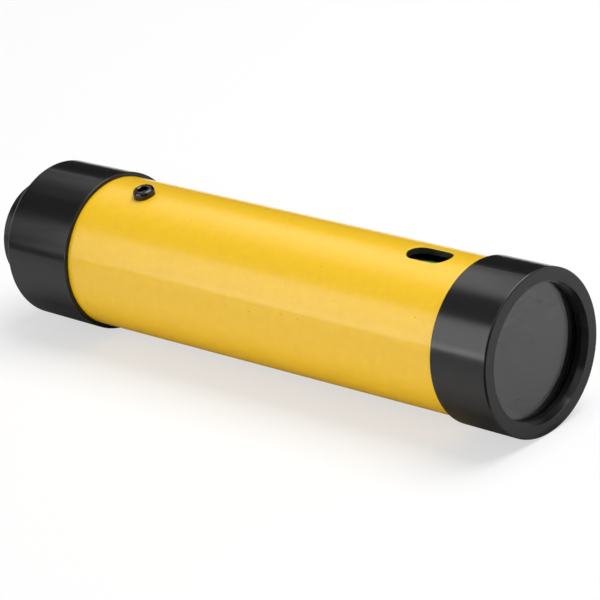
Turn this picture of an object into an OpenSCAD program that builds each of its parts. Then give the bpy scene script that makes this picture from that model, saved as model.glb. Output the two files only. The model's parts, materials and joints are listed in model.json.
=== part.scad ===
// Hand level with a half-field mirror and a focusing eyepiece.
// Origin: where the sight axis meets the rear cap's closed face. +X points forward, +Z up through the slot.
// The eyepiece and the bubble are drawn at the middle of their travel.

/* [Barrel] */
// Outside diameter of the yellow tube
barrel_od = 38; // [34:0.5:46]
// Wall of the tube
barrel_wall = 1.8; // [1.4:0.1:2.4]
// Length of the tube
barrel_len = 149.3; // [140:0.1:170]
// Distance from the tube's front end to the middle of the slot
slot_setback = 26.1; // [24:0.1:32]
// Length of the slot over the vial
slot_len = 12.4; // [9:0.1:16]
// Width of the slot over the vial
slot_w = 6.7; // [4.5:0.1:8]

/* [Front cap] */
// Diameter of the front cap at its front face
front_cap_od = 40.4; // [39.8:0.1:48]
// Diameter of the front cap at its open edge
front_cap_tail_od = 40.1; // [39.6:0.1:48]
// How far the front cap reaches over the tube
front_skirt_len = 11.7; // [7:0.1:16]
// Diameter of the recess in the front face
recess_d = 32.6; // [30:0.1:36]
// Depth of the recess down to the glass
recess_len = 3.1; // [2:0.1:6]
// Chamfer round the mouth of the recess
recess_chamfer = 0.7; // [0.2:0.1:1]
// Rounding of the outer front edge
front_edge_r = 0.5; // [0.2:0.1:1]

/* [Rear cap] */
// Diameter of the rear cap at its open edge
rear_cap_od = 40.2; // [39.6:0.1:48]
// Diameter of the rear cap at its closed end
rear_cap_tail_od = 39.7; // [39.2:0.1:48]
// How far the rear cap reaches over the tube
rear_skirt_len = 17.5; // [10:0.1:24]
// Thickness of the rear cap's end wall
rear_wall = 4; // [3:0.1:6]
// Rounding of the outer rear edge
rear_edge_r = 0.7; // [0.3:0.1:1.2]

/* [Front glass] */
// Thickness of the cover glass
glass_t = 1; // [0.8:0.1:3]
// Thickness of the gasket behind the glass
gasket_t = 0.8; // [0.5:0.1:1.5]
// Inside diameter of the gasket
gasket_d = 32; // [28:0.1:33]

/* [Eyepiece] */
// Diameter of the eye head that stands out of the rear cap
eye_head_d = 27.4; // [24:0.1:28]
// Length of the eye head
eye_head_len = 8.4; // [7:0.1:12]
// Length of the spigot that holds the eye head in the draw tube
spigot_len = 5; // [3:0.1:8]
// Width of the rim around the eye dish
eye_rim_w = 1.8; // [1.4:0.1:2.5]
// Rounding of the eye head's outer edge
eye_edge_r = 0.7; // [0.3:0.1:1]
// Depth of the eye dish
eye_dish_depth = 3.6; // [2:0.1:4.5]
// Diameter of the eye opening
eye_hole_d = 8; // [4:0.5:12]
// Thickness of the web around the eye opening
eye_web = 1; // [0.8:0.1:1.5]
// Diameter of the eye glass
eye_glass_d = 16; // [14:0.5:18]
// Thickness of the eye glass
eye_glass_t = 1.5; // [1:0.1:2.5]
// Thickness of the ring that holds the eye glass
eye_ring_t = 1.8; // [1:0.1:3]
// Radial width of the ring that holds the eye glass
eye_ring_w = 1.4; // [1:0.1:2]

/* [Draw tube] */
// Outside diameter of the draw tube
draw_od = 26.9; // [24:0.1:27.2]
// Wall of the draw tube
draw_wall = 1.4; // [1:0.1:2]
// Length of the draw tube
draw_len = 54.6; // [50:0.1:60]
// Travel of the draw tube each way
draw_travel = 5; // [2:0.5:6]

/* [Half lens] */
// Diameter of the half lens
half_lens_d = 20; // [17:0.5:21]
// Middle thickness of the half lens
half_lens_t = 3; // [2.5:0.1:4]
// Focal length of the half lens
half_lens_f = 94; // [70:1:150]
// Thickness of the shoulder under the half lens
lens_shoulder_t = 1.5; // [1:0.1:3]
// Radial width of that shoulder
lens_shoulder_w = 1; // [0.6:0.1:1.5]
// Thickness of the ring that holds the half lens
lens_ring_t = 1.6; // [1:0.1:2.5]
// Width of the bar along the half lens's straight edge
lens_bar_w = 1.4; // [1:0.1:2]

/* [Guide bush] */
// Length of the bush that carries the draw tube
bush_len = 37.6; // [34:0.1:42]
// Length of its rear bearing
bush_rear_land = 8; // [6:0.1:10]
// Length of its front bearing
bush_front_land = 12; // [11:0.1:16]
// Depth of the relief between the bearings
bush_relief = 0.9; // [0.5:0.1:1.4]
// Length of the felt friction ring
felt_len = 4; // [2:0.1:5]
// Thickness of the felt friction ring
felt_t = 1.4; // [0.8:0.1:2]

/* [Guide screw] */
// Distance of the guide screw from the rear cap's closed face
guide_screw_x = 35.9; // [34:0.1:37]
// Angle of the guide screw from the slot's line
guide_screw_angle = 8; // [0:1:20]
// Diameter of the guide screw's thread
guide_screw_d = 3; // [2.5:0.1:3.5]
// Diameter of the guide screw's head
guide_head_d = 5.5; // [5:0.1:6.5]
// Height of the guide screw's head
guide_head_h = 2; // [1.5:0.1:2.5]
// Width across the flats of the hexagon socket
guide_socket_w = 2.5; // [2:0.1:3]
// Depth of the hexagon socket
guide_socket_depth = 1.3; // [0.8:0.1:1.4]
// Diameter of the dog point in the draw tube's slot
guide_dog_d = 2.3; // [1.6:0.1:2.4]
// Depth of the flat that the head seats on, below the tube's crest
spot_depth = 0.13; // [0.05:0.01:0.3]

/* [Liner] */
// Wall of the black liner tube
liner_wall = 0.8; // [0.6:0.1:1.2]
// Thickness of the field stop
stop_t = 1.2; // [0.8:0.1:2]
// Opening of the field stop
stop_d = 22; // [18:0.5:26]

/* [Sight frame] */
// Length of each ring of the frame, the front one at least
frame_ring_len = 6; // [5:0.1:8]
// Radial thickness of the frame's rings
frame_ring_t = 2.9; // [2.4:0.1:3.5]
// Thickness of the trough that joins the rings
trough_t = 2.4; // [1.6:0.1:2.8]
// Height of the trough's edges below the sight axis
trough_drop = 6; // [4:0.1:8]
// Thickness of the bars that carry the vial tray
bar_h = 2.4; // [2:0.1:3]
// Diameter of the frame's set screws
set_screw_d = 2.5; // [2:0.1:3]
// Angle between the frame's set screws
set_screw_pitch = 120; // [90:1:120]

/* [Vial] */
// Diameter of the vial
vial_d = 9; // [8:0.1:9.6]
// Length of the vial
vial_len = 26; // [24:0.5:28]
// Wall of the vial
vial_wall = 0.9; // [0.6:0.1:1.2]
// Gap between the vial and the tube's inner wall
vial_gap = 0.6; // [0.4:0.1:1.2]
// Length of the plugs in the vial's ends
plug_len = 3; // [2:0.1:3.5]
// Thickness of the discs that hold the vial in its tray
end_disc_t = 1; // [0.6:0.1:1.5]
// Diameter of the bubble
bubble_d = 2.6; // [2:0.1:2.8]
// Length of the bubble
bubble_len = 8; // [6:0.1:9]
// Travel of the bubble each way
bubble_travel = 3; // [1:0.1:3.5]

/* [Vial tray] */
// Side wall of the tray beside the vial
tray_side = 1.5; // [1.2:0.1:2]
// Floor of the tray below the vial
tray_floor = 1; // [0.8:0.1:1.4]
// Length of the blocks that hold the vial's ends
tray_block_len = 3.5; // [3:0.1:4.5]
// Gap between the blocks and the frame's rings
tray_gap = 2.4; // [1.5:0.1:3]
// Thickness of the tray's lugs
lug_t = 2; // [1.5:0.1:2.5]
// Width of the tray's lugs
lug_w = 8; // [7:0.1:9]
// Length of the window in the tray's floor
window_len = 15; // [13:0.1:17]
// Width of the window in the tray's floor
window_w = 6; // [5:0.1:7]
// Thread diameter of the tray's screws
tray_screw_d = 2; // [1.6:0.1:2.2]
// Head diameter of the tray's screws
tray_head_d = 3.8; // [3.4:0.1:4.2]
// Head height of the tray's screws
tray_head_h = 1.3; // [1:0.1:1.6]
// Thickness of the spring washer under the front lug
washer_t = 0.5; // [0.3:0.1:0.8]

/* [Index and mirror] */
// Thickness of the index frame
index_t = 0.6; // [0.5:0.1:0.8]
// Width of the index frame's ends
index_end_w = 1.5; // [1:0.1:2.5]
// Width of its sides
index_side_w = 2; // [1.5:0.1:2.5]
// Diameter of the index wire
index_wire_d = 0.24; // [0.2:0.02:0.4]
// Gap between the index frame and the mirror's top edge
mirror_top_gap = 1; // [0.5:0.1:2]
// Height of the mirror's bottom edge below the sight axis
mirror_drop = 8; // [6:0.1:9]
// Width of the mirror, from the middle of the view to one side
mirror_w = 10; // [8:0.1:11]
// Thickness of the mirror
mirror_t = 1.2; // [0.8:0.1:2]
// Length of the mirror block in front of the slot's middle
block_front = 10; // [8:0.1:12]
// Diameter of the mirror block's screws
block_screw_d = 2; // [1.6:0.1:2.5]
// Length of the mirror block's screws
block_screw_len = 6; // [4:0.1:8]
// Diameter of their countersunk heads
block_head_d = 3.6; // [3:0.1:4.5]
// Height of their countersunk heads
block_head_h = 0.9; // [0.6:0.1:1.4]
// Place of the first screw in front of the slot's middle
block_screw_x = -2; // [-3:0.5:0]
// Distance between the two screws
block_screw_pitch = 8; // [6:0.5:9]
// Angle of the screws from straight down, towards the block
block_screw_angle = 20; // [15:1:25]

/* [Fits] */
// Radial clearance of seated parts
fit = 0.05; // [0.02:0.01:0.1]
// Radial running clearance of the draw tube
run = 0.05; // [0.03:0.01:0.1]
// Free space around moving parts that nothing guides
free = 0.3; // [0.25:0.05:0.5]

/* [Hidden] */
$fn = 96;
ARC_STEPS = 6;
LENS_STEPS = 480;
EDGE = 0.25;
REFRACTION = 1.52;

// Stations along the sight axis
eye_x = -eye_head_len;
eye_glass_x = eye_x + eye_dish_depth + eye_web;
barrel_x0 = rear_wall;
barrel_x1 = barrel_x0 + barrel_len;
glass_x0 = barrel_x1 + gasket_t;
glass_x1 = glass_x0 + glass_t;
front_x = glass_x1 + recess_len;
slot_x = barrel_x1 - slot_setback;
bush_x1 = barrel_x0 + bush_len;
land_x0 = draw_travel + 2 * free;
felt_x0 = land_x0 + (bush_rear_land - felt_len) / 2;

// Radii
barrel_r = barrel_od / 2;
bore_r = barrel_r - barrel_wall;
cap_bore_r = barrel_r + fit;
seat_r = bore_r - fit;
draw_r = draw_od / 2;
draw_bore_r = draw_r - draw_wall;
cell_r = draw_bore_r - fit;
head_r = eye_head_d / 2;
glass_r = barrel_r - fit;
recess_r = recess_d / 2;
frame_bore_r = seat_r - frame_ring_t;

// Guide screw, along its own radial line: heights are measured from the sight axis
spot_z = barrel_r - spot_depth;
dog_tip_z = draw_bore_r + free;
guide_slot_w = guide_dog_d + free;
guide_slot_len = guide_dog_d + 2 * draw_travel + 2 * free;

// Vial and its tray
vial_r = vial_d / 2;
liquid_r = vial_r - vial_wall;
vial_z = bore_r - vial_gap - vial_r;
vial_half = vial_len / 2;
tray_z = vial_z - vial_r - tray_floor;
tray_half_w = vial_r + tray_side;
tray_half = vial_half + end_disc_t;
ring_front_x = slot_x + tray_half + tray_gap;
ring_rear_x = slot_x - tray_half - tray_gap;
frame_x0 = ring_rear_x - frame_ring_len;
tray_screw_x = [ring_rear_x - frame_ring_len / 2, (ring_front_x + barrel_x1) / 2];
lug_x = [tray_screw_x[0] - tray_head_d / 2, tray_screw_x[1] + tray_head_d / 2];
tray_screw_len = lug_t + washer_t + bar_h - EDGE;
bubble_r = bubble_d / 2;
bubble_z = vial_z + liquid_r - free - bubble_r;
trough_w = bubble_d + 2 * free;
trough_len = bubble_len + 2 * bubble_travel + 2 * free;

// Mirror: its front face cuts the sight axis under the middle of the slot
index_z = tray_z - index_t;
index_hole_w = 2 * (tray_half_w - index_side_w);
mirror_top = index_z - mirror_top_gap;
mirror_back = mirror_t * sqrt(2);
mirror_len = (mirror_top + mirror_drop) * sqrt(2);
block_r = seat_r - trough_t - fit;

// Half lens
lens_r = half_lens_d / 2;
lens_curve_r = half_lens_f * (REFRACTION - 1);
lens_x1 = draw_len - EDGE - lens_ring_t + lens_sag(lens_r - fit);
lens_x0 = lens_x1 - half_lens_t;
lens_ring_x = lens_x1 - lens_sag(lens_r - lens_shoulder_w) + fit;
cell_x0 = lens_x0 - lens_shoulder_t;

function lens_sag(r) = lens_curve_r - sqrt(lens_curve_r * lens_curve_r - r * r);
function arc(c, r, a0, a1, steps = ARC_STEPS) =
  [for (i = [0:steps]) let (a = a0 + (a1 - a0) * i / steps) c + r * [cos(a), sin(a)]];

// Round bar along the sight axis
module rod(x0, x1, r) {
  translate([x0, 0, 0]) rotate([0, 90, 0]) cylinder(h = x1 - x0, r = r);
}

// Ring along the sight axis
module ring(x0, x1, r, bore) {
  difference() {
    rod(x0, x1, r);
    rod(x0 - 1, x1 + 1, bore);
  }
}

// Turned part: the outline's points are [radius, x]
module turned(outline) {
  rotate([0, 90, 0]) rotate_extrude() polygon(outline);
}

// Obround prism along Z, its long side along X
module obround(len, w, z0, z1) {
  dx = (len - w) / 2;
  steps = 2 * ARC_STEPS;
  translate([0, 0, z0]) linear_extrude(height = z1 - z0)
    polygon(concat(arc([dx, 0], w / 2, -90, 90, steps), arc([-dx, 0], w / 2, 90, 270, steps)));
}

// Turns a child that stands along +Z at x onto the guide screw's line
module on_guide_line() {
  translate([guide_screw_x, 0, 0]) rotate([guide_screw_angle, 0, 0]) children();
}

// Places a child that stands along +Z at each of the frame's set screws
module at_set_screws() {
  for (k = [-1:1])
    translate([tray_screw_x[1], 0, 0]) rotate([180 + k * set_screw_pitch, 0, 0]) children();
}

// Places a child that stands along +Z, outward, at each of the mirror block's screws
module at_block_screws() {
  for (x = [block_screw_x, block_screw_x + block_screw_pitch])
    translate([slot_x + x, 0, 0]) rotate([180 + block_screw_angle, 0, 0]) children();
}

module barrel() {
  color([0.96, 0.76, 0.2])
  difference() {
    ring(barrel_x0, barrel_x1, barrel_r, bore_r);
    translate([slot_x, 0, 0]) obround(slot_len, slot_w, vial_z, barrel_r + 1);
    on_guide_line() {
      cylinder(h = barrel_r + 1, d = guide_screw_d + 2 * fit);
      translate([0, 0, spot_z]) cylinder(h = 2, d = guide_head_d + 2 * fit);
    }
    at_set_screws() cylinder(h = barrel_r + 1, d = set_screw_d + 2 * fit);
  }
}

module front_cap() {
  x0 = barrel_x1 - front_skirt_len;
  r = front_cap_od / 2;
  tail_r = front_cap_tail_od / 2;
  color([0.07, 0.07, 0.07])
  turned(concat(
    [[cap_bore_r, x0], [tail_r - EDGE, x0], [tail_r, x0 + EDGE]],
    arc([r - front_edge_r, front_x - front_edge_r], front_edge_r, 0, 90),
    [[recess_r + recess_chamfer, front_x], [recess_r, front_x - recess_chamfer],
      [recess_r, glass_x1], [cap_bore_r, glass_x1]]
  ));
}

module rear_cap() {
  x1 = barrel_x0 + rear_skirt_len;
  hole_r = head_r + free;
  r = rear_cap_tail_od / 2;
  open_r = rear_cap_od / 2;
  color([0.07, 0.07, 0.07])
  turned(concat(
    [[hole_r, barrel_x0], [hole_r, EDGE], [hole_r + EDGE, 0]],
    arc([r - rear_edge_r, rear_edge_r], rear_edge_r, -90, 0),
    [[open_r, x1 - EDGE], [open_r - EDGE, x1], [cap_bore_r, x1], [cap_bore_r, barrel_x0]]
  ));
}

module front_glass() {
  color([0.6, 0.65, 0.68, 0.5]) rod(glass_x0, glass_x1, glass_r);
}

module front_gasket() {
  color([0.12, 0.12, 0.12]) ring(barrel_x1, glass_x0, glass_r, gasket_d / 2);
}

// Fixed in the barrel behind the rear cap's wall; the guide screw is threaded into it
module guide_bush() {
  land_r = draw_r + run;
  color([0.3, 0.3, 0.32])
  difference() {
    rod(barrel_x0, bush_x1, seat_r);
    rod(barrel_x0 - 1, land_x0, head_r + free);
    rod(barrel_x0, bush_x1 + 1, land_r);
    rod(land_x0 + bush_rear_land, bush_x1 - bush_front_land, land_r + bush_relief);
    rod(felt_x0 - fit, felt_x0 + felt_len + fit, draw_r + run + felt_t + fit);
    on_guide_line() cylinder(h = barrel_r, d = guide_screw_d + 2 * fit);
  }
}

module friction_felt() {
  color([0.25, 0.25, 0.22]) ring(felt_x0, felt_x0 + felt_len, draw_r + run + felt_t, draw_r + run);
}

module guide_screw() {
  thread_z = draw_r + run + EDGE;
  head_r1 = guide_head_d / 2;
  color([0.05, 0.05, 0.05])
  on_guide_line() difference() {
    rotate_extrude() polygon([
      [0, dog_tip_z], [guide_dog_d / 2 - EDGE, dog_tip_z], [guide_dog_d / 2, dog_tip_z + EDGE],
      [guide_dog_d / 2, thread_z], [guide_screw_d / 2, thread_z + EDGE], [guide_screw_d / 2, spot_z],
      [head_r1, spot_z], [head_r1, spot_z + guide_head_h - EDGE],
      [head_r1 - EDGE, spot_z + guide_head_h], [0, spot_z + guide_head_h]
    ]);
    translate([0, 0, spot_z + guide_head_h - guide_socket_depth])
      cylinder(h = guide_socket_depth + 1, d = guide_socket_w / cos(30), $fn = 6);
  }
}

module liner_tube() {
  color([0.04, 0.04, 0.04]) ring(bush_x1, frame_x0, seat_r, seat_r - liner_wall);
}

module field_stop() {
  x = (bush_x1 + frame_x0) / 2;
  color([0.04, 0.04, 0.04]) ring(x, x + stop_t, seat_r - liner_wall - fit, stop_d / 2);
}

// Two rings joined by a trough, with a bar across each ring for the vial tray
module sight_frame() {
  half = barrel_od;
  color([0.06, 0.06, 0.06])
  difference() {
    rod(frame_x0, barrel_x1, seat_r);
    rod(ring_rear_x, ring_front_x, seat_r - trough_t);
    translate([ring_rear_x, -half, -trough_drop]) cube([ring_front_x - ring_rear_x, 2 * half, 2 * half]);
    intersection() {
      rod(frame_x0 - 1, barrel_x1 + 1, frame_bore_r);
      translate([frame_x0 - 1, -half, tray_z - bar_h - 2 * half])
        cube([2 * barrel_len, 2 * half, 2 * half]);
    }
    intersection() {
      rod(frame_x0 - 1, slot_x, frame_bore_r);
      translate([frame_x0 - 1, -half, tray_z]) cube([2 * barrel_len, 2 * half, 2 * half]);
    }
    intersection() {
      rod(slot_x, barrel_x1 + 1, frame_bore_r);
      translate([slot_x, -half, tray_z - washer_t])
        cube([2 * barrel_len, 2 * half, 2 * half]);
    }
    for (x = tray_screw_x) translate([x, 0, 0]) cylinder(h = tray_z + 1, d = tray_screw_d + 2 * fit);
    at_set_screws() cylinder(h = barrel_r, d = set_screw_d + 2 * fit);
    at_block_screws() block_screw_space(fit);
  }
}

// Set screws of the frame, hidden under the front cap's skirt
module frame_screws() {
  tip_z = frame_bore_r + EDGE;
  head_z = barrel_r - fit;
  color([0.2, 0.2, 0.2])
  at_set_screws() difference() {
    translate([0, 0, tip_z]) cylinder(h = head_z - tip_z, d = set_screw_d);
    translate([0, 0, head_z - set_screw_d / 2]) cylinder(h = set_screw_d, d = set_screw_d / 2, $fn = 6);
  }
}

// Carries the vial under the slot, a lug at each end rests on the frame's bars
module vial_tray() {
  color([0.08, 0.08, 0.08])
  intersection() {
    rod(lug_x[0], lug_x[1], bore_r - fit);
    difference() {
      union() {
        translate([slot_x - tray_half, -tray_half_w, tray_z])
          cube([2 * tray_half, 2 * tray_half_w, barrel_r]);
        translate([lug_x[0], -lug_w / 2, tray_z]) cube([lug_x[1] - lug_x[0], lug_w, lug_t]);
      }
      translate([slot_x - tray_half + tray_block_len, -barrel_r, vial_z])
        cube([2 * (tray_half - tray_block_len), 2 * barrel_r, barrel_r]);
      translate([0, 0, vial_z]) rod(slot_x - tray_half - 1, slot_x + tray_half + 1, vial_r + fit);
      translate([slot_x, 0, 0]) obround(window_len, window_w, tray_z - 1, vial_z);
      for (x = tray_screw_x) translate([x, 0, 0]) cylinder(h = barrel_r, d = tray_screw_d + 2 * fit);
    }
  }
}

module tray_screws() {
  head_z = tray_z + lug_t;
  color([0.7, 0.6, 0.3])
  for (x = tray_screw_x)
    translate([x, 0, 0]) difference() {
      rotate_extrude() polygon([
        [0, head_z - tray_screw_len], [tray_screw_d / 2, head_z - tray_screw_len],
        [tray_screw_d / 2, head_z], [tray_head_d / 2, head_z],
        [tray_head_d / 2, head_z + tray_head_h - EDGE], [tray_head_d / 2 - EDGE, head_z + tray_head_h],
        [0, head_z + tray_head_h]
      ]);
      translate([-tray_head_d, -EDGE, head_z + tray_head_h / 2])
        cube([2 * tray_head_d, 2 * EDGE, tray_head_h]);
    }
}

module spring_washer() {
  color([0.6, 0.6, 0.62])
  translate([tray_screw_x[1], 0, tray_z - washer_t]) difference() {
    cylinder(h = washer_t, d = tray_head_d);
    translate([0, 0, -1]) cylinder(h = washer_t + 2, d = tray_screw_d + 2 * fit);
  }
}

// Plate under the tray with the wire that the bubble is read against
module index_frame() {
  color([0.75, 0.62, 0.3])
  union() {
    difference() {
      translate([slot_x - window_len / 2 - index_end_w, -tray_half_w, index_z])
        cube([window_len + 2 * index_end_w, 2 * tray_half_w, index_t]);
      translate([slot_x, 0, 0]) obround(window_len, index_hole_w, index_z - 1, tray_z + 1);
    }
    translate([slot_x, 0, index_z + index_t / 2]) rotate([90, 0, 0])
      cylinder(h = index_hole_w + index_side_w, d = index_wire_d, center = true);
  }
}

module vial_glass() {
  color([0.75, 0.95, 0.75, 0.4])
  translate([0, 0, vial_z]) ring(slot_x - vial_half, slot_x + vial_half, vial_r, liquid_r);
}

// The trough along its top is the space that the bubble slides in
module vial_liquid() {
  half = vial_half - plug_len;
  color([0.4, 0.85, 0.15])
  difference() {
    translate([0, 0, vial_z]) rod(slot_x - half, slot_x + half, liquid_r - fit);
    translate([slot_x - trough_len / 2, -trough_w / 2, bubble_z - bubble_r - free])
      cube([trough_len, trough_w, vial_d]);
  }
}

module vial_plugs() {
  color([0.9, 0.9, 0.85])
  translate([0, 0, vial_z]) for (s = [-1, 1])
    translate([slot_x + s * (vial_half - plug_len / 2), 0, 0])
      rod(-plug_len / 2, plug_len / 2, liquid_r - fit);
}

module vial_end_discs() {
  color([0.85, 0.85, 0.8])
  translate([0, 0, vial_z]) for (s = [-1, 1])
    translate([slot_x + s * (vial_half + end_disc_t / 2), 0, 0])
      rod(-end_disc_t / 2, end_disc_t / 2, vial_r);
}

module vial_bubble() {
  cap_x = bubble_len / 2 - bubble_r;
  color([0.95, 1, 0.9])
  translate([slot_x, 0, bubble_z]) turned(concat(
    [[0, -bubble_len / 2]],
    arc([0, -cap_x], bubble_r, -75, 0),
    arc([0, cap_x], bubble_r, 0, 75),
    [[0, bubble_len / 2]]
  ));
}

// Wedge on the trough's floor with a 45 degree face, in one half of the view only
module mirror_block() {
  foot = -seat_r;
  toe = mirror_drop + mirror_t;
  toe_z = -mirror_drop - mirror_back / 2;
  color([0.1, 0.1, 0.1])
  difference() {
    intersection() {
      rod(slot_x - barrel_od, slot_x + barrel_od, block_r);
      translate([slot_x, free + mirror_w, 0]) rotate([90, 0, 0]) linear_extrude(height = mirror_w)
        polygon([
          [-toe, foot], [-toe, toe_z], [mirror_back + toe_z, toe_z],
          [mirror_back + mirror_top, mirror_top], [block_front, mirror_top], [block_front, foot]
        ]);
    }
    at_block_screws() block_screw_space(fit);
  }
}

module mirror() {
  color([0.8, 0.84, 0.88])
  translate([slot_x - mirror_drop, free, -mirror_drop]) rotate([0, -45, 0])
    translate([0, 0, -mirror_t]) cube([mirror_len, mirror_w, mirror_t]);
}

// Countersunk screw, or with a gap the hole for it; it stands along +Z with its head outermost
module block_screw_space(gap) {
  top = seat_r - free;
  over = top + 10 * gap;
  rotate_extrude() polygon([
    [0, top - block_screw_len - gap], [block_screw_d / 2 + gap, top - block_screw_len - gap],
    [block_screw_d / 2 + gap, top - block_head_h], [block_head_d / 2 + gap, top],
    [block_head_d / 2 + gap, over], [0, over]
  ]);
}

module block_screws() {
  color([0.6, 0.6, 0.62]) at_block_screws() difference() {
    block_screw_space(0);
    translate([-block_screw_d, -EDGE, seat_r - free - EDGE]) cube([2 * block_screw_d, 2 * EDGE, 1]);
  }
}

module draw_tube() {
  color([0.12, 0.12, 0.12])
  difference() {
    ring(0, draw_len, draw_r, draw_bore_r);
    on_guide_line() obround(guide_slot_len, guide_slot_w, 0, barrel_r);
  }
}

// Round eyepiece with a dish for the eye; its spigot sits in the draw tube
module eye_head() {
  dish_r = head_r - eye_rim_w;
  dish_x = eye_x + eye_dish_depth;
  glass_seat_r = eye_glass_d / 2 + fit;
  color([0.06, 0.06, 0.06])
  turned(concat(
    [[glass_seat_r, spigot_len], [glass_seat_r, eye_glass_x], [eye_hole_d / 2, eye_glass_x],
     [eye_hole_d / 2, dish_x], [dish_r, eye_x + EDGE], [dish_r + EDGE, eye_x]],
    arc([head_r - eye_edge_r, eye_x + eye_edge_r], eye_edge_r, -90, 0),
    [[head_r, 0], [cell_r, 0], [cell_r, spigot_len]]
  ));
}

module eye_glass() {
  color([0.6, 0.65, 0.68, 0.5]) rod(eye_glass_x, eye_glass_x + eye_glass_t, eye_glass_d / 2);
}

module eye_glass_ring() {
  x = eye_glass_x + eye_glass_t;
  color([0.12, 0.12, 0.12]) ring(x, x + eye_ring_t, eye_glass_d / 2, eye_glass_d / 2 - eye_ring_w);
}

// Ring in the draw tube's inner end; a bar across it carries the lens's straight edge
module half_lens_cell() {
  color([0.12, 0.12, 0.12])
  union() {
    difference() {
      rod(cell_x0, draw_len, cell_r);
      rod(cell_x0 - 1, draw_len + 1, lens_r - lens_shoulder_w);
      rod(lens_x0, draw_len + 1, lens_r + fit);
    }
    intersection() {
      rod(cell_x0, lens_ring_x, lens_r + 2 * fit);
      translate([cell_x0, -lens_bar_w, -lens_r]) cube([draw_len - cell_x0, lens_bar_w, 2 * lens_r]);
    }
  }
}

// Plano-convex, cut in half, so that the other half of the view stays open
module half_lens() {
  color([0.75, 0.85, 0.9, 0.5])
  intersection() {
    rod(lens_x0, lens_x1, lens_r);
    translate([lens_x1 - lens_curve_r, 0, 0]) sphere(r = lens_curve_r, $fn = LENS_STEPS);
    translate([lens_x0 - 1, fit, -lens_r]) cube([half_lens_t + 2, lens_r, 2 * lens_r]);
  }
}

module half_lens_ring() {
  color([0.12, 0.12, 0.12])
  ring(lens_ring_x, lens_ring_x + lens_ring_t, lens_r, lens_r - lens_shoulder_w);
}

barrel();
front_cap();
rear_cap();
front_glass();
front_gasket();
guide_bush();
friction_felt();
guide_screw();
liner_tube();
field_stop();
sight_frame();
frame_screws();
vial_tray();
tray_screws();
spring_washer();
index_frame();
vial_glass();
vial_liquid();
vial_plugs();
vial_end_discs();
mirror_block();
mirror();
block_screws();
draw_tube();
eye_head();
eye_glass();
eye_glass_ring();
half_lens_cell();
half_lens();
half_lens_ring();
vial_bubble();
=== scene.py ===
import json
import math

import bpy
from mathutils import Matrix, Vector, geometry


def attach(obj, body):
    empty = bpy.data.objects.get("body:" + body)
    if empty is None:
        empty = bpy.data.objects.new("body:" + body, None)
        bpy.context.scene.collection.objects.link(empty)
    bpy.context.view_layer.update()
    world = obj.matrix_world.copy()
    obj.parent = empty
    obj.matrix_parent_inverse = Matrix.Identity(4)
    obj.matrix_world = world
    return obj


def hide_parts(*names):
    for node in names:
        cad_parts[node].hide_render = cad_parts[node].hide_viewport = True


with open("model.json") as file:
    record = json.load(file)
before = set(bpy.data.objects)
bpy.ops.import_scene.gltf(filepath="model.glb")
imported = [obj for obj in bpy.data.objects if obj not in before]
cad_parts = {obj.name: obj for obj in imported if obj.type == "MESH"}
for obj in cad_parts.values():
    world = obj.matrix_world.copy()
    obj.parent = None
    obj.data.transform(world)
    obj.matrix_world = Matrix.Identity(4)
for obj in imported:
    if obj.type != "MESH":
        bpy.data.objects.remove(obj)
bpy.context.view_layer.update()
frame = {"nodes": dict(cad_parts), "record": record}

MM = 0.001

# Stations along the sight axis, heights and radii, in mm, as the CAD model has them, apart from the
# guide screw's hidden dog point, which is 0.05 mm deeper here
BARREL = (4.0, 153.3)
BARREL_R, BORE_R = 19.0, 17.2
FRONT_X, FRONT_SKIRT_X, FRONT_CAP_R, FRONT_TAIL_R = 158.2, 141.6, 20.2, 20.05
REAR_SKIRT_X, REAR_CAP_R, REAR_TAIL_R = 21.5, 20.1, 19.85
CAP_BORE_R, EYE_BORE_R = 19.05, 14.0
RECESS_R, MOUTH = 16.3, 0.7
GLASS_X, GLASS_R, GASKET_R = (154.1, 155.1), 18.95, 16.0
EYE_X, HEAD_R, EYE_EDGE_R = -8.4, 13.7, 0.7
DISH_X, DISH_R, EYE_RIM_R, EYE_HOLE_R = -4.8, 11.9, 12.15, 4.0
SPIGOT_X, SPIGOT_R = 5.0, 12.0
EYE_GLASS_X, EYE_GLASS_R, EYE_SEAT_R = (-3.8, -2.3), 8.0, 8.05
SLOT_X, SLOT_LEN, SLOT_W = 127.2, 12.4, 6.7
SCREW_X, SCREW_ANGLE = 35.9, math.radians(8)
SPOT_Z, SCREW_HEAD_R, SCREW_HEAD_H, SOCKET_R = 18.87, 2.75, 2.0, 1.25
SCREW_HOLE_R, THREAD_R, DOG_R, DOG_Z = 1.55, 1.5, 1.15, 12.3
VIAL_Z, VIAL_R, VIAL_HALF = 12.1, 4.5, 13.0
LIQUID_R, LIQUID_HALF, BUBBLE_HALF = 3.6, 10.0, 4.0

# Trim that the scene alone has, in mm: the recess wall's flare, as a length behind the rim and a
# widening, and how far liquid and bubble reach into the vial's glass, so that no gap shows
FLARE_LEN, FLARE = 1.7, 0.06
OVERLAP = 0.02

# Depths of the grain in the surfaces, in metres
GRAIN_DEEP, GRAIN_FINE = 0.00002, 0.000004


# Materials

def nodes_of(name):
    material = bpy.data.materials.new(name)
    material.use_nodes = True
    tree = material.node_tree
    shader = tree.nodes["Principled BSDF"]
    return material, tree, shader


def add(tree, kind, inputs=None, **props):
    node = tree.nodes.new(kind)
    for key, value in props.items():
        setattr(node, key, value)
    for key, value in (inputs or {}).items():
        if isinstance(value, bpy.types.NodeSocket):
            tree.links.new(value, node.inputs[key])
        else:
            node.inputs[key].default_value = value
    return node


def place(tree):
    return add(tree, "ShaderNodeTexCoord").outputs["Object"]


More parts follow.
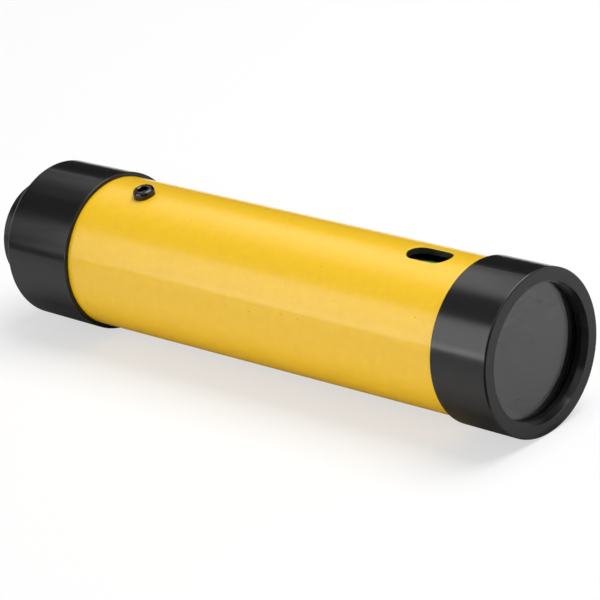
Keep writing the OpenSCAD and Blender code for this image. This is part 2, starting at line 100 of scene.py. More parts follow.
def noise(tree, scale, detail=3.0, rough=0.5, stretch=None):
    at = place(tree)
    if stretch:
        at = add(tree, "ShaderNodeMapping", {"Vector": at, "Scale": stretch}).outputs["Vector"]
    return add(tree, "ShaderNodeTexNoise",
               {"Vector": at, "Scale": scale, "Detail": detail, "Roughness": rough}).outputs["Fac"]


def ranged(tree, value, low, high, to_low, to_high):
    return add(tree, "ShaderNodeMapRange", {
        "Value": value, "From Min": low, "From Max": high,
        "To Min": to_low, "To Max": to_high}).outputs["Result"]


# Inputs 0, 6 and 7 and output 2 are the factor and the colours of a mix node set to colours
def mixed(tree, factor, a, b):
    node = add(tree, "ShaderNodeMix", data_type="RGBA")
    for socket, value in ((node.inputs[0], factor), (node.inputs[6], a), (node.inputs[7], b)):
        if isinstance(value, bpy.types.NodeSocket):
            tree.links.new(value, socket)
        else:
            socket.default_value = value if isinstance(value, float) else (*value, 1.0)
    return node.outputs[2]


def bumped(tree, shader, heights, distance):
    total = heights[0]
    for height in heights[1:]:
        total = add(tree, "ShaderNodeMath", {0: total, 1: height}, operation="ADD").outputs[0]
    bump = add(tree, "ShaderNodeBump", {"Height": total, "Distance": distance, "Strength": 1.0})
    tree.links.new(bump.outputs["Normal"], shader.inputs["Normal"])


def scaled(tree, value, by):
    return add(tree, "ShaderNodeMath", {0: value, 1: by}, operation="MULTIPLY").outputs[0]


# Powder coat: orange peel in the surface, faint mottling and a few specks of dirt
def paint():
    material, tree, shader = nodes_of("yellow_paint")
    mottle = noise(tree, 420.0, 4.0, 0.6)
    base = mixed(tree, ranged(tree, mottle, 0.3, 0.7, 0.0, 1.0),
                 (0.875, 0.522, 0.003), (0.925, 0.556, 0.005))
    at = place(tree)
    specks = add(tree, "ShaderNodeTexVoronoi", {"Vector": at, "Scale": 370.0})
    pick = ranged(tree, specks.outputs["Distance"], 0.03, 0.075, 1.0, 0.0)
    kind = add(tree, "ShaderNodeSeparateColor", {"Color": specks.outputs["Color"]}).outputs["Red"]
    strength = scaled(tree, pick, ranged(tree, kind, 0.45, 1.0, 0.0, 0.8))
    colour = mixed(tree, strength, base, (0.10, 0.04, 0.005))
    tree.links.new(colour, shader.inputs["Base Color"])
    tree.links.new(ranged(tree, noise(tree, 600.0), 0.3, 0.7, 0.42, 0.5),
                   shader.inputs["Roughness"])
    shader.inputs["IOR"].default_value = 1.38
    shader.inputs["Coat Weight"].default_value = 0.65
    shader.inputs["Coat Roughness"].default_value = 0.17
    shader.inputs["Coat IOR"].default_value = 1.4
    peel = noise(tree, 900.0, 2.0, 0.5)
    fine = scaled(tree, noise(tree, 2600.0, 2.0, 0.5), 0.25)
    pits = scaled(tree, pick, -0.3)
    bumped(tree, shader, [peel, fine, pits], GRAIN_DEEP)
    return material


# Moulded plastic: nearly black, with faint flow marks and hairline handling marks
def plastic(name, base=0.009, rough=(0.13, 0.2), ior=1.38):
    material, tree, shader = nodes_of(name)
    cloud = noise(tree, 160.0, 4.0, 0.6)
    colour = mixed(tree, cloud, (base * 0.85,) * 3, (base * 1.2, base * 1.15, base * 1.15))
    tree.links.new(colour, shader.inputs["Base Color"])
    rub = noise(tree, 300.0, 5.0, 0.6, stretch=(0.25, 1.0, 1.0))
    tree.links.new(ranged(tree, rub, 0.3, 0.75, *rough), shader.inputs["Roughness"])
    shader.inputs["IOR"].default_value = ior
    bumped(tree, shader, [noise(tree, 1300.0, 2.0, 0.5)], GRAIN_FINE)
    return material


def metal(name, colour, rough, metallic=1.0, grain=(1.0, 6.0, 6.0)):
    material, tree, shader = nodes_of(name)
    streak = noise(tree, 500.0, 4.0, 0.6, stretch=grain)
    dark = tuple(c * 0.8 for c in colour)
    tree.links.new(mixed(tree, streak, dark, colour), shader.inputs["Base Color"])
    tree.links.new(ranged(tree, streak, 0.3, 0.7, rough * 0.8, rough * 1.3),
                   shader.inputs["Roughness"])
    shader.inputs["Metallic"].default_value = metallic
    bumped(tree, shader, [streak], GRAIN_FINE)
    return material


def matte(name, colour, rough, grain=900.0, height=GRAIN_DEEP, sheen=0.0, level=0.5):
    material, tree, shader = nodes_of(name)
    speck = noise(tree, grain, 5.0, 0.65)
    dark = tuple(c * 0.7 for c in colour)
    light = tuple(min(1.0, c * 1.25) for c in colour)
    tree.links.new(mixed(tree, speck, dark, light), shader.inputs["Base Color"])
    tree.links.new(ranged(tree, speck, 0.3, 0.7, rough * 0.9, min(1.0, rough * 1.1)),
                   shader.inputs["Roughness"])
    shader.inputs["Sheen Weight"].default_value = sheen
    shader.inputs["Specular IOR Level"].default_value = level
    bumped(tree, shader, [speck], height)
    return material


# Clear or partly clear material. The colour `painted_shade`, if given, takes over away from the
# station reach[0], and fully so from reach[1] off it, both in metres, as painted shade
def glassy(name, colour, ior, rough=(0.0, 0.02), transmission=1.0, painted_shade=None, reach=(0.0, 0.0)):
    material, tree, shader = nodes_of(name)
    haze = noise(tree, 120.0, 4.0, 0.6)
    pale = tuple(min(1.0, c * 1.04) for c in colour)
    tint = mixed(tree, haze, colour, pale)
    if painted_shade:
        x = add(tree, "ShaderNodeSeparateXYZ", {"Vector": place(tree)}).outputs["X"]
        away = add(tree, "ShaderNodeMath", {0: x, 1: reach[0]}, operation="SUBTRACT").outputs[0]
        away = add(tree, "ShaderNodeMath", {0: away}, operation="ABSOLUTE").outputs[0]
        tint = mixed(tree, ranged(tree, away, 0.35 * reach[1], reach[1], 0.0, 1.0), tint, painted_shade)
    tree.links.new(tint, shader.inputs["Base Color"])
    tree.links.new(ranged(tree, haze, 0.4, 0.8, *rough), shader.inputs["Roughness"])
    shader.inputs["Transmission Weight"].default_value = transmission
    shader.inputs["IOR"].default_value = ior
    return material


# SHADE is the blackened bore, black with no gloss at all, which is also painted shade inside the
# tube; EDGE_BLACK is the slot's wall, RECESS_SHADE the recess's wall, darker and duller than the
# cap as painted shade, and BOSS the eye head
YELLOW = paint()
SHADE = matte("tube_inside", (0.006, 0.006, 0.006), 0.9, level=0.0)
EDGE_BLACK = plastic("slot_edge", 0.034, (0.35, 0.45))
CAP = plastic("cap_plastic")
RECESS_SHADE = plastic("recess_plastic_shaded", 0.004, (0.3, 0.4), 1.2)
BOSS = plastic("boss_plastic", 0.008, (0.2, 0.3))
STEEL_BLACK = metal("screw_black", (0.052, 0.050, 0.050), 0.12, 1.0, (3.0, 3.0, 3.0))
WINDOW = glassy("window_clear", (0.6, 0.61, 0.61), 1.5, (0.0, 0.0))
VIAL = glassy("vial_clear", (0.90, 0.97, 0.90), 1.5)
# The liquid darkens away from the slot's middle: painted shade, where the slot's ends and the
# barrel keep the light off it
LIQUID = glassy("vial_green", (0.045, 0.22, 0.004), 1.36, (0.0, 0.03), 0.35,
                painted_shade=(0.008, 0.02, 0.003), reach=(0.1279, 0.0042))
BUBBLE = glassy("bubble_clear", (0.26, 0.52, 0.14), 1.3, (0.0, 0.02), 0.45)
GASKET = matte("gasket_rubber", (0.012, 0.012, 0.012), 0.7, level=0.2)

BY_SLOT = {
    "tube_paint": YELLOW, "cap_black": CAP, "window_glass": WINDOW,
    "lens_glass": glassy("lens_clear", (0.94, 0.96, 0.96), 1.52),
    "gasket": GASKET,
    "black_metal": metal("black_anodised", (0.03, 0.03, 0.034), 0.35, 0.5),
    "inner_black": SHADE,
    "felt": matte("felt_grey", (0.09, 0.09, 0.08), 0.95, 2500.0, 0.0001, 0.3),
    "black_steel": STEEL_BLACK,
    "steel": metal("zinc_steel", (0.55, 0.55, 0.56), 0.3),
    "brass": metal("blackened_brass", (0.020, 0.015, 0.009), 0.6, 0.3),
    "vial_glass": VIAL, "vial_liquid": LIQUID,
    "vial_plug": matte("plug_plaster", (0.60, 0.58, 0.52), 0.9, 1500.0),
    "mirror": metal("silvered", (0.86, 0.87, 0.88), 0.03),
    "bubble": BUBBLE,
}
# Inside the tube, the parts that the window would show get SHADE in place of their own finish:
# painted shade
BY_NODE = dict.fromkeys(("sight_frame", "frame_screws", "tray_screws", "spring_washer"), SHADE)
for entry in frame["record"]["subparts"]:
    node = frame["nodes"][entry["node"]]
    node.data.materials.clear()
    node.data.materials.append(BY_NODE.get(entry["node"]) or BY_SLOT[entry["material_slot"]])


# Meshes

# Smooth mesh from points in mm, with its own normals where they are given
def make(name, verts, normals, faces, materials, indices=None):
    mesh = bpy.data.meshes.new(name)
    mesh.from_pydata([Vector(v) * MM for v in verts], [], faces)
    for material in materials:
        mesh.materials.append(material)
    if indices:
        mesh.polygons.foreach_set("material_index", indices)
    mesh.polygons.foreach_set("use_smooth", [True] * len(mesh.polygons))
    mesh.update()
    if normals:
        mesh.normals_split_custom_set_from_vertices([Vector(n).normalized() for n in normals])
    piece = bpy.data.objects.new(name, mesh)
    bpy.context.scene.collection.objects.link(piece)
    return piece


# Lets a mesh of the scene stand for CAD nodes
def stand_for(piece, body, slot, *replaced):
    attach(piece, body)
    if replaced:
        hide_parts(*replaced)
    return piece


# Twice the signed area of an outline, positive when its corners run counter-clockwise
def signed_area(corners):
    return sum(a[0] * b[1] - b[0] * a[1] for a, b in zip(corners, corners[1:] + corners[:1]))


# Outline with rounded corners as (point, normal) rows; a None row breaks the surface at a hard
# corner. Corners are (x, r, rounding), in order round the solid's section.
def rounded(corners, steps=8):
    count = len(corners)
    side = 1 if signed_area(corners) > 0 else -1
    rows = []
    for i, (x, r, radius) in enumerate(corners):
        here = Vector((x, r))
        before = (here - Vector(corners[i - 1][:2])).normalized()
        after = (Vector(corners[(i + 1) % count][:2]) - here).normalized()
        n0 = Vector((before.y, -before.x)) * side
        n1 = Vector((after.y, -after.x)) * side
        if radius == 0:
            rows += [(here, n0), None, (here, n1)]
            continue
        turn = before.angle(after)
        cut = radius * math.tan(turn / 2)
        start = here - before * cut
        bulge = 1 if n0.dot(after) < 0 else -1
        centre = start - n0 * radius * bulge
        for k in range(steps + 1):
            # Slight turns are blended, where slerp would divide by next to nothing
            share = k / steps
            normal = n0.lerp(n1, share).normalized() if turn < 0.2 else slerp(n0, n1, share)
            rows.append((centre + normal * radius * bulge, normal))
    return rows


# Direction a share t of the way round from one direction to another
def slerp(a, b, t):
    angle = a.angle(b)
    return (a * math.sin((1 - t) * angle) + b * math.sin(t * angle)) / math.sin(angle)


# Turned piece about the sight axis, or about a line parallel to it at height lift; faces nearer to
# the axis than inside[1] get the material inside[0]
def turned(name, corners, material, segments=256, lift=0.0, inside=None):
    rows = rounded(corners)
    verts, normals, faces, kinds = [], [], [], []
    rings = []
    for row in rows:
        if row is None:
            rings.append(None)
            continue
        (x, r), (nx, nr) = row
        rings.append(len(verts))
        for k in range(segments):
            a = 2 * math.pi * k / segments
            verts.append((x, -r * math.sin(a), lift + r * math.cos(a)))
            normals.append((nx, -nr * math.sin(a), nr * math.cos(a)))
    rings.append(rings[0])
    forward = signed_area(corners) > 0
    for a, b in zip(rings, rings[1:]):
        if a is None or b is None:
            continue
        for k in range(segments):
            n = (k + 1) % segments
            quad = (a + k, b + k, b + n, a + n)
            faces.append(quad if forward else quad[::-1])
            kinds.append(int(bool(inside) and max(verts[a][2], verts[b][2]) - lift < inside[1]))
    return make(name, verts, normals, faces, [material] + ([inside[0]] if inside else []), kinds)


# Whether a point lies in a convex loop that runs counter-clockwise
def within(loop, x, v):
    return all((p[0] - x) * (q[1] - v) - (q[0] - x) * (p[1] - v) > 0
               for p, q in zip(loop, loop[1:] + loop[:1]))


# Skin of the barrel with holes: a constrained triangulation of the unrolled surface, on a grid with
# a pitch of `step` degrees and about `dx` mm. Points are (x, v), with v the length round the tube.
def unrolled(radius, holes, step=2.0, dx=4.0):
    points, edges = [], []
    half = math.pi * radius
    columns = round(360 / step)
    bays = round((BARREL[1] - BARREL[0]) / dx)
    xs = [BARREL[0] + (BARREL[1] - BARREL[0]) * i / bays for i in range(bays + 1)]
    vs = [-half + 2 * half * j / columns for j in range(columns + 1)]

    # Grid points in a hole, or so near to its edge that slivers would come of them
    def left_out(x, v, near=0.35):
        for loop in holes:
            middle = [sum(p[k] for p in loop) / len(loop) for k in (0, 1)]
            reach = [max(p[k] for p in loop) - middle[k] + near for k in (0, 1)]
            if abs(x - middle[0]) < reach[0] and abs(v - middle[1]) < reach[1]:
                if within(loop, x, v) or min(math.hypot(x - p[0], v - p[1]) for p in loop) < near:
                    return True
        return False

    grid = {}
    for i, x in enumerate(xs):
        for j, v in enumerate(vs):
            if not left_out(x, v):
                grid[i, j] = len(points)
                points.append(Vector((x, v)))
    border = ([(i, 0) for i in range(bays)] + [(bays, j) for j in range(columns)]
              + [(i, columns) for i in range(bays, 0, -1)]
              + [(0, j) for j in range(columns, 0, -1)])
    for a, b in zip(border, border[1:] + border[:1]):
        edges.append((grid[a], grid[b]))
    loops = []
    for loop in holes:
        first = len(points)
        points += [Vector(p) for p in loop]
        loops.append(range(first, len(points)))
        edges += [(first + k, first + (k + 1) % len(loop)) for k in range(len(loop))]
    # Output type 1 keeps the triangles inside the border
    flat, _, triangles, origin = geometry.delaunay_2d_cdt(points, edges, [], 1, 1e-7)[:4]
    kept = []
    for triangle in triangles:
        middle = sum((flat[k] for k in triangle), Vector((0, 0))) / 3
        if not any(within(loop, middle.x, middle.y) for loop in holes):
            kept.append(triangle)
    where = {source: index for index, sources in enumerate(origin) for source in sources}
    return flat, kept, [[where[k] for k in loop] for loop in loops]


# Point of the unrolled surface, rolled up again
def wrap(x, v, radius):
    a = v / radius
    return (x, -radius * math.sin(a), radius * math.cos(a))


# Points (x, w) of the slot grown by a distance, counter-clockwise, each with its outward direction
def slot_points(grow, count=24):
    r = SLOT_W / 2 + grow
    dx = (SLOT_LEN - SLOT_W) / 2
    points = []
    for centre, start in ((dx, -90), (-dx, 90)):
        for k in range(count + 1):
            a = math.radians(start + 180 * k / count)
            points.append((SLOT_X + centre + r * math.cos(a), r * math.sin(a),
                           math.cos(a), math.sin(a)))
    return points


# Point at a sideways distance w from the tube's top line
def on_tube(x, w, radius):
    return (x, -w, math.sqrt(radius * radius - w * w))


# From the guide screw's own axes, with z outward from the sight axis, to the part's
def screw_frame(p):
    x, y, z = p
    c, s = math.cos(SCREW_ANGLE), math.sin(SCREW_ANGLE)
    return (SCREW_X + x, y * c - z * s, y * s + z * c)


# Kinds of face on the barrel, in the order of its materials
PAINTED, INSIDE, CUT = range(3)


def barrel():
    verts, normals, faces, kinds = [], [], [], []

    def put(point, normal):
        verts.append(point)
        normals.append(normal)
        return len(verts) - 1

    def band(a, b, kind):
        for k in range(len(a)):
            n = (k + 1) % len(a)
            faces.append((a[k], b[k], b[n], a[n]))
            kinds.append(kind)

    count, roll_steps = 48, 4
    lip, edge = 0.2, 0.2
    spot_r = SCREW_HEAD_R + 0.05
    slot = slot_points(lip)
    circle = [(math.cos(2 * math.pi * k / count), math.sin(2 * math.pi * k / count))
              for k in range(count)]

    def spot_on_skin(cx, cy, radius):
        return (SCREW_X + cx, radius * (SCREW_ANGLE + math.asin(cy / radius)))

    outer_holes = [
        [(x, BARREL_R * math.asin(w / BARREL_R)) for x, w, _, _ in slot],
        [spot_on_skin(spot_r * cx, spot_r * cy, BARREL_R) for cx, cy in circle],
    ]
    flat, triangles, loops = unrolled(BARREL_R, outer_holes)
    skin = [put(wrap(p.x, p.y, BARREL_R), (0, -math.sin(p.y / BARREL_R), math.cos(p.y / BARREL_R)))
            for p in flat]
    for t in triangles:
        faces.append(tuple(skin[k] for k in t)[::-1])
        kinds.append(PAINTED)

    # Slot: the paint rolls over the edge, the wall below it is black and rounded at the bore
    previous = [skin[k] for k in loops[0]]
    for k in range(1, roll_steps + 1):
        a = math.pi / 2 * k / roll_steps
        radius = BARREL_R - lip * (1 - math.cos(a))
        ring = []
        for x, w, ux, uw in slot_points(lip * (1 - math.sin(a))):
            outward = Vector(on_tube(0, w, BARREL_R)) / BARREL_R
            normal = outward * math.cos(a) + Vector((-ux, uw, 0)) * math.sin(a)
            ring.append(put(on_tube(x, w, radius), normal))
        band(previous, ring, PAINTED)
        previous = ring
    inward = [(-ux, uw, 0) for _, _, ux, uw in slot]
    previous = [put(verts[k], n) for k, n in zip(previous, inward)]
    strip = [put(on_tube(x, w, BORE_R + 2 * edge), n)
             for (x, w, _, _), n in zip(slot_points(0), inward)]
    band(previous, strip, CUT)
    previous = strip
    for k in range(roll_steps + 1):
        a = math.pi / 2 * k / roll_steps
        radius = BORE_R + edge * (1 - math.sin(a))
        ring = []
        for (x, w, _, _), (nx, nw, _) in zip(slot_points(edge * (1 - math.cos(a))), inward):
            normal = (nx * math.cos(a), nw * math.cos(a), -math.sin(a))
            ring.append(put(on_tube(x, w, radius), normal))
        band(previous, ring, CUT)
        previous = ring

    # Guide screw's hole with the flat that its head seats on
    up = screw_frame((0, 0, 1))
    up = (up[0] - SCREW_X, up[1], up[2])
    rim = [skin[k] for k in loops[1]]
    rim_low, flat_out, flat_in, hole_top, hole_end = [], [], [], [], []
    for cx, cy in circle:
        side = Vector(screw_frame((-cx, cy, 0))) - Vector((SCREW_X, 0, 0))
        local = spot_r * cy
        height = min(SPOT_Z, math.sqrt(BARREL_R ** 2 - local ** 2))
        low = screw_frame((spot_r * cx, -local, height))
        rim_low.append(put(low, side))
        flat_out.append(put(low, up))
        x, y = SCREW_HOLE_R * cx, -SCREW_HOLE_R * cy
        inner = screw_frame((x, y, SPOT_Z))
        flat_in.append(put(inner, up))
        hole_top.append(put(inner, side))
        hole_end.append(put(screw_frame((x, y, math.sqrt(BORE_R ** 2 - y ** 2))), side))
    band(rim, rim_low, PAINTED)
    band(flat_out, flat_in, PAINTED)
    band(hole_top, hole_end, INSIDE)

    # Bore
    inner_holes = [
        [(x, BORE_R * math.asin(w / BORE_R)) for x, w, _, _ in slot_points(edge)],
        [spot_on_skin(SCREW_HOLE_R * cx, SCREW_HOLE_R * cy, BORE_R) for cx, cy in circle],
    ]
    flat, triangles, _ = unrolled(BORE_R, inner_holes, step=3.0, dx=8.0)
    bore = [put(wrap(p.x, p.y, BORE_R), (0, math.sin(p.y / BORE_R), -math.cos(p.y / BORE_R)))
            for p in flat]
    for t in triangles:
        faces.append(tuple(bore[k] for k in t))
        kinds.append(INSIDE)

    # End faces
    sectors = 180
    for x, nx in ((BARREL[0], -1), (BARREL[1], 1)):
        pair = [[put(wrap(x, 2 * math.pi * k / sectors * r, r), (nx, 0, 0)) for k in range(sectors)]
                for r in ((BORE_R, BARREL_R) if nx > 0 else (BARREL_R, BORE_R))]
        band(pair[0], pair[1], PAINTED)
    return make("barrel_tube", verts, normals, faces, [YELLOW, SHADE, EDGE_BLACK], kinds)


stand_for(barrel(), "root", "tube_paint", "barrel")

# The recess wall's darker, duller plastic is painted shade; it goes up nine tenths of the mouth's
# chamfer
stand_for(turned("front_cap_shell", [
    (FRONT_SKIRT_X, CAP_BORE_R, 0.08), (GLASS_X[1], CAP_BORE_R, 0), (GLASS_X[1], RECESS_R, 0.1),
    (FRONT_X - FLARE_LEN, RECESS_R + FLARE, 0.8), (FRONT_X, RECESS_R + MOUTH, 0.1),
    (FRONT_X, FRONT_CAP_R, 0.5), (FRONT_SKIRT_X, FRONT_TAIL_R, 0.3),
], CAP, inside=(RECESS_SHADE, RECESS_R + 0.9 * MOUTH)), "root", "cap_black", "front_cap")

stand_for(turned("rear_cap_shell", [
    (0, EYE_BORE_R, 0.25), (BARREL[0], EYE_BORE_R, 0), (BARREL[0], CAP_BORE_R, 0),
    (REAR_SKIRT_X, CAP_BORE_R, 0.08), (REAR_SKIRT_X, REAR_CAP_R, 0.25), (0, REAR_TAIL_R, 0.7),
], CAP), "root", "cap_black", "rear_cap")

stand_for(turned("front_window", [
    (GLASS_X[0], 0.0, 0), (GLASS_X[1], 0.0, 0),
    (GLASS_X[1], GLASS_R, 0.2), (GLASS_X[0], GLASS_R, 0.2),
], WINDOW, 192), "root", "window_glass", "front_glass")

stand_for(turned("window_gasket", [
    (BARREL[1], GASKET_R, 0.25), (GLASS_X[0], GASKET_R, 0.25),
    (GLASS_X[0], GLASS_R, 0.1), (BARREL[1], GLASS_R, 0.1),
], GASKET, 192), "root", "gasket", "front_gasket")

stand_for(turned("eye_boss", [
    (SPIGOT_X, EYE_SEAT_R, 0), (EYE_GLASS_X[0], EYE_SEAT_R, 0), (EYE_GLASS_X[0], EYE_HOLE_R, 0.2),
    (DISH_X, EYE_HOLE_R, 0.25), (EYE_X + 0.2, DISH_R, 0.5), (EYE_X, EYE_RIM_R, 0.3),
    (EYE_X, HEAD_R, EYE_EDGE_R), (0, HEAD_R, 0), (0, SPIGOT_R, 0), (SPIGOT_X, SPIGOT_R, 0.2),
], BOSS), "eyepiece", "cap_black", "eye_head")

stand_for(turned("eye_window", [
    (EYE_GLASS_X[0], 0.0, 0), (EYE_GLASS_X[1], 0.0, 0),
    (EYE_GLASS_X[1], EYE_GLASS_R, 0.15), (EYE_GLASS_X[0], EYE_GLASS_R, 0.15),
], WINDOW, 128), "eyepiece", "window_glass", "eye_glass")


# Guide screw: low head with a rounded rim, a chamfered hexagon socket, thread and dog point
def guide_screw():
    count = 96
    verts, faces = [], []

    def ring(r, z, hexagon=False):
        first = len(verts)
        for k in range(count):
            a = 2 * math.pi * k / count
            reach = r / math.cos((a + math.pi / 6) % (math.pi / 3) - math.pi / 6) if hexagon else r
            verts.append(screw_frame((reach * math.cos(a), reach * math.sin(a), z)))
        return list(range(first, first + count))

    # From the dog point's tip up to the head, over its rim and down into the socket
    top, round_r, round_steps = SPOT_Z + SCREW_HEAD_H, 0.9, 12
    rows = [ring(r, z) for r, z in (
        (0.05, DOG_Z), (0.9, DOG_Z), (DOG_R, DOG_Z + 0.25), (DOG_R, 13.7), (THREAD_R, 13.95),
        (THREAD_R, SPOT_Z), (2.5, SPOT_Z), (2.72, SPOT_Z), (SCREW_HEAD_R, SPOT_Z + 0.05),
        (SCREW_HEAD_R, SPOT_Z + 0.4), (SCREW_HEAD_R, top - 0.95))]
    for k in range(round_steps + 1):
        a = math.pi / 2 * k / round_steps
        rows.append(ring(SCREW_HEAD_R - round_r + round_r * math.cos(a),
                         top - round_r + round_r * math.sin(a)))
    rows += [ring(1.64, top), ring(1.58, top - 0.03)]
    rows += [ring(r, top - depth, hexagon=True) for r, depth in (
        (SOCKET_R + 0.02, 0.19), (SOCKET_R, 0.23), (SOCKET_R, 1.0), (SOCKET_R, 1.25),
        (SOCKET_R - 0.05, 1.3))]
    rows += [ring(0.9, top - 1.42), ring(0.05, top - 1.7)]
    for a, b in zip(rows, rows[1:]):
        for k in range(count):
            n = (k + 1) % count
            faces.append((a[k], a[n], b[n], b[k]))
    faces.append(tuple(rows[0])[::-1])
    faces.append(tuple(rows[-1]))
    piece = make("guide_screw_body", verts, None, faces, [STEEL_BLACK])
    piece.data.set_sharp_from_angle(angle=math.radians(32))
    return piece


stand_for(guide_screw(), "root", "black_steel", "guide_screw")

# Vial: glass tube with rounded ends, and the liquid in it. The glass casts no shadow, so that light
# reaches the liquid.
vial = stand_for(turned("vial_tube", [
    (SLOT_X - VIAL_HALF, LIQUID_R, 0.3), (SLOT_X + VIAL_HALF, LIQUID_R, 0.3),
    (SLOT_X + VIAL_HALF, VIAL_R, 0.4), (SLOT_X - VIAL_HALF, VIAL_R, 0.4),
], VIAL, 128, VIAL_Z), "root", "vial_glass", "vial_glass")
vial.visible_shadow = False
stand_for(turned("vial_filling", [
    (SLOT_X - LIQUID_HALF, 0.0, 0), (SLOT_X + LIQUID_HALF, 0.0, 0),
    (SLOT_X + LIQUID_HALF, LIQUID_R + OVERLAP, 0.1),
    (SLOT_X - LIQUID_HALF, LIQUID_R + OVERLAP, 0.1),
], LIQUID, 128, VIAL_Z), "root", "vial_liquid", "vial_liquid")


# Bubble: a capsule pressed flat against the vial's bore along its top; its axis lies at a depth of
# `sunk` under the bore
def bubble():
    half, r, count, rows = BUBBLE_HALF, 1.28, 48, 12
    top, sunk = LIQUID_R + OVERLAP, 0.9
    verts, normals, faces = [], [], []
    angles = [math.pi / 2 * k / rows for k in range(rows + 1)]
    stations = [(-half + r - r * math.cos(a), math.sin(a)) for a in angles]
    stations += [(-x, s) for x, s in reversed(stations)]
    for x, s in stations:
        for k in range(count):
            a = 2 * math.pi * k / count
            across, up = -r * s * math.sin(a), top - sunk + r * s * math.cos(a)
            reach = math.hypot(across, up)
            if reach > top:
                across, up = across * top / reach, up * top / reach
                normals.append((0, across, up))
            else:
                nx = -1 if x < 0 else 1
                normals.append((nx * (1 - s * s) ** 0.5, -s * math.sin(a), s * math.cos(a)))
            verts.append((SLOT_X + x, across, VIAL_Z + up))
    for i in range(len(stations) - 1):
        for k in range(count):
            n = (k + 1) % count
            faces.append((i * count + n, (i + 1) * count + n, (i + 1) * count + k, i * count + k))
    return make("vial_air", verts, normals, faces, [BUBBLE])


stand_for(bubble(), "bubble", "bubble", "vial_bubble")


# Studio

# 1 where the camera sees a thing straight on, mirrored or through glass, and 0 in diffuse light
def seen_ray(tree):
    path = add(tree, "ShaderNodeLightPath")
    seen = path.outputs["Is Camera Ray"]
    for ray in ("Is Glossy Ray", "Is Transmission Ray"):
        seen = add(tree, "ShaderNodeMath", {0: seen, 1: path.outputs[ray]},
                   operation="MAXIMUM").outputs[0]
    return seen


# Dull cloth of one grey level, with a faint grain; also returns what a caller needs to change it
def cloth(name, level):
    material, tree, shader = nodes_of(name)
    shader.inputs["Roughness"].default_value = 0.9
    shader.inputs["Specular IOR Level"].default_value = 0.0
    grain = mixed(tree, noise(tree, 40.0, 3.0, 0.5), (level * 0.99,) * 3, (level,) * 3)
    tree.links.new(grain, shader.inputs["Base Color"])
    return material, tree, shader, grain


# White floor: where it is seen, part of its brightness is its own, which leaves the shadow faint
def floor_material(name, level, glow):
    material, tree, shader, white = cloth(name, level)
    seen = seen_ray(tree)
    left = level * (1 - glow)
    tree.links.new(mixed(tree, seen, white, (left, left, left)), shader.inputs["Base Color"])
    shader.inputs["Emission Color"].default_value = (1, 1, 1, 1)
    tree.links.new(scaled(tree, seen, glow), shader.inputs["Emission Strength"])
    return material


# Piece of the studio, from points in metres
def staged(name, points, faces, material):
    mesh = bpy.data.meshes.new(name)
    mesh.from_pydata(points, [], faces)
    mesh.materials.append(material)
    piece = bpy.data.objects.new(name, mesh)
    bpy.context.scene.collection.objects.link(piece)
    return piece


# Hides a piece from all but the glossy rays, and the rays through glass where those may see it
def for_gloss(piece, glass=False):
    piece.visible_camera = piece.visible_diffuse = piece.visible_shadow = False
    piece.visible_transmission = glass


QUAD = [(0, 1, 2, 3)]
# The floor touches the caps from below
FLOOR_HALF, FLOOR_Z = 4, -0.0202
# Strength of the white surroundings as a light, against 1 where they are seen
AMBIENT = 0.31

staged("floor", [(x * FLOOR_HALF, y * FLOOR_HALF, FLOOR_Z)
                 for x, y in ((-1, -1), (1, -1), (1, 1), (-1, 1))],
       QUAD, floor_material("floor_white", 0.92, 0.62))

world = bpy.data.worlds.new("studio")
bpy.context.scene.world = world
world.use_nodes = True
sky = world.node_tree
background = sky.nodes["Background"]
background.inputs["Color"].default_value = (1, 1, 1, 1)
sky.links.new(ranged(sky, seen_ray(sky), 0.0, 1.0, AMBIENT, 1.0), background.inputs["Strength"])


# Place at a station and a distance from the sight axis, at an angle from +Y towards +Z round it
def around(turn, x, distance):
    a = math.radians(turn)
    return Vector((x, distance * math.cos(a), distance * math.sin(a)))


# Dark card bent round the sight axis, which gives the gloss one of its dark bands
def card(name, turns, stations, distance, level):
    steps = 8
    points = []
    for i in range(steps + 1):
        turn = turns[0] + (turns[1] - turns[0]) * i / steps
        points += [around(turn, x, distance) for x in stations]
    faces = [(2 * i, 2 * i + 1, 2 * i + 3, 2 * i + 2) for i in range(steps)]
    for_gloss(staged(name, points, faces, cloth(name + "_cloth", level)[0]), glass=True)


card("card_low", (-4.5, 44), (-0.75, 0.12), 0.25, 0.03)
card("card_high", (44, 178), (-1.9, -0.55), 1.2, 0.5)
card("card_gap", (174.5, 184.4), (-0.42, -0.195), 0.25, 0.05)
card("card_rear", (94, 126), (-1.9, -0.98), 1.18, 0.22)


# The floor as the gloss sees it, with a painted shadow: darker towards the object, from `far` to
# `near` along one axis
def floor_shadow_card(name, axis, span, far, near, corners):
    material, tree, shader, _ = cloth(name + "_cloth", far)
    along = add(tree, "ShaderNodeSeparateXYZ", {"Vector": place(tree)}).outputs[axis]
    share = ranged(tree, along, *span, 0.0, 1.0)
    share = add(tree, "ShaderNodeMath", {0: share, 1: 2.0}, operation="POWER").outputs[0]
    tree.links.new(mixed(tree, share, (far,) * 3, (near,) * 3), shader.inputs["Base Color"])
    (x0, y0), (x1, y1) = corners
    z = FLOOR_Z + 0.0002
    for_gloss(staged(name, [(x0, y0, z), (x1, y0, z), (x1, y1, z), (x0, y1, z)], QUAD, material))


# Painted shadow on the floor beside and under the object, seen in the gloss of caps and tube
floor_shadow_card("under_shadow_card", "Y", (-0.07, -0.01), 0.92, 0.36, ((-0.25, -0.07), (0.16, 0.03)))
# Painted shadow on the floor in front of the front face, seen in the window's reflection
floor_shadow_card("front_shadow_card", "X", (0.225, 0.16), 0.94, 0.66, ((0.1601, -0.03), (0.225, 0.12)))


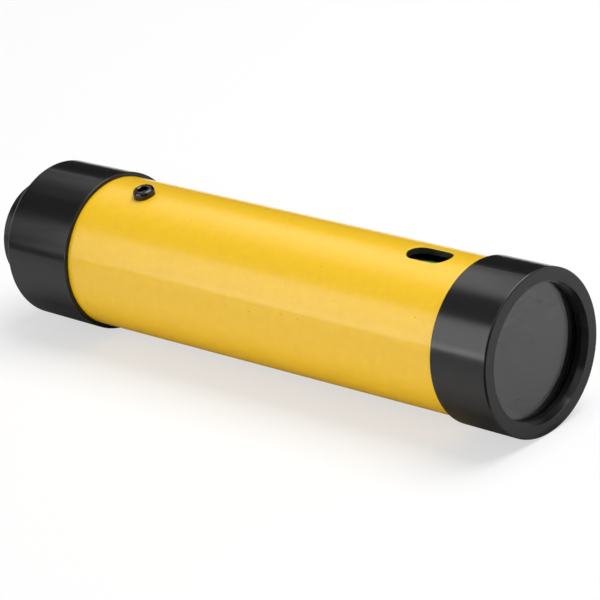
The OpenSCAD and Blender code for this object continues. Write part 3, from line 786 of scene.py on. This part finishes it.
# Dark side of the studio, towards the camera, that the rounded edges mirror: a floor and a wall
# bent round the front rim
def dark_side():
    steps, near, far, height = 12, 0.03, 0.5, 0.42
    low = FLOOR_Z + 0.0008
    points = []
    for i in range(steps + 1):
        a = math.radians(-12 - 88 * i / steps)
        points += [(FRONT_X * MM + r * math.cos(a), r * math.sin(a), z)
                   for r, z in ((near, low), (far, low), (far, height))]
    faces = [(3 * i + k, 3 * i + k + 1, 3 * i + k + 4, 3 * i + k + 3)
             for i in range(steps) for k in (0, 1)]
    for_gloss(staged("dark_side", points, faces, cloth("dark_side_cloth", 0.03)[0]))


dark_side()


# Soft box whose light fades towards its edges, over shares of its width and height. Without an
# aim it faces the sight axis and lights nothing by diffuse light.
def softbox(name, place_at, width, height, radiance, fade, aim=None, lean=0.0):
    lamp = bpy.data.lights.new(name, "AREA")
    lamp.shape = "RECTANGLE"
    lamp.size, lamp.size_y = width, height
    lamp.energy = radiance * math.pi * width * height
    lamp.use_nodes = True
    tree = lamp.node_tree
    at = add(tree, "ShaderNodeNewGeometry").outputs["Parametric"]
    u, v = (add(tree, "ShaderNodeSeparateXYZ", {"Vector": at}).outputs[k] for k in (0, 1))
    fading = None
    for value, (low, high) in ((u, fade[0]), (v, fade[1])):
        for a, b in ((0.0, low), (1.0, 1.0 - high)):
            edge = add(tree, "ShaderNodeMapRange", {"Value": value, "From Min": a, "From Max": b},
                       interpolation_type="SMOOTHSTEP").outputs["Result"]
            fading = edge if fading is None else add(
                tree, "ShaderNodeMath", {0: fading, 1: edge}, operation="MULTIPLY").outputs[0]
    tree.links.new(fading, tree.nodes["Emission"].inputs["Strength"])
    piece = bpy.data.objects.new(name, lamp)
    out_dir = (place_at - (aim or Vector((place_at.x, 0, 0)))).normalized()
    up = out_dir.cross(Vector((1, 0, 0))).normalized()
    up = up * math.cos(lean) - up.cross(out_dir) * math.sin(lean)
    along = up.cross(out_dir)
    piece.matrix_world = Matrix((
        (along.x, up.x, out_dir.x, place_at.x),
        (along.y, up.y, out_dir.y, place_at.y),
        (along.z, up.z, out_dir.z, place_at.z),
        (0, 0, 0, 1)))
    bpy.context.scene.collection.objects.link(piece)
    piece.visible_camera = False
    piece.visible_diffuse = aim is not None


# Three boxes for the light bands in the gloss, and two that light the object
MIDDLE = Vector((0.075, 0, 0))
softbox("box_a", around(70.3, -0.605, 0.826), 0.54, 0.97, 2.6, ((0.75, 0.5), (0.32, 0.32)),
        lean=0.32)
softbox("box_b", around(150.7, -0.555, 0.826), 0.61, 0.795, 3.35, ((0.2, 0.1), (0.03, 0.3)))
softbox("box_c", around(171.5, -0.555, 0.826), 0.61, 0.145, 1.9, ((0.2, 0.1), (0.1, 0.5)))
softbox("key", Vector((0.35, 0.35, 1.15)), 1.0, 1.0, 5.85, ((0.1, 0.1), (0.1, 0.1)), MIDDLE)
softbox("fill", Vector((0.3, -1.4, 0.13)), 1.4, 0.3, 6.8, ((0.2, 0.2), (0.2, 0.2)), MIDDLE)

# The photograph's camera, as fitted to the outlines of tube and rims
camera = bpy.data.cameras.new("camera")
camera.lens = 215.945
camera.sensor_width = 36
camera.clip_start, camera.clip_end = 0.05, 20
viewer = bpy.data.objects.new("camera", camera)
viewer.matrix_world = Matrix((
    (0.73111036, -0.18073404, 0.65788513, 0.65516214),
    (0.66980218, 0.37356309, -0.64172865, -0.558615),
    (-0.12977939, 0.90982735, 0.3941719, 0.34149294),
    (0, 0, 0, 1)))
bpy.context.scene.collection.objects.link(viewer)
bpy.context.scene.camera = viewer
bpy.context.scene.view_settings.view_transform = "Standard"
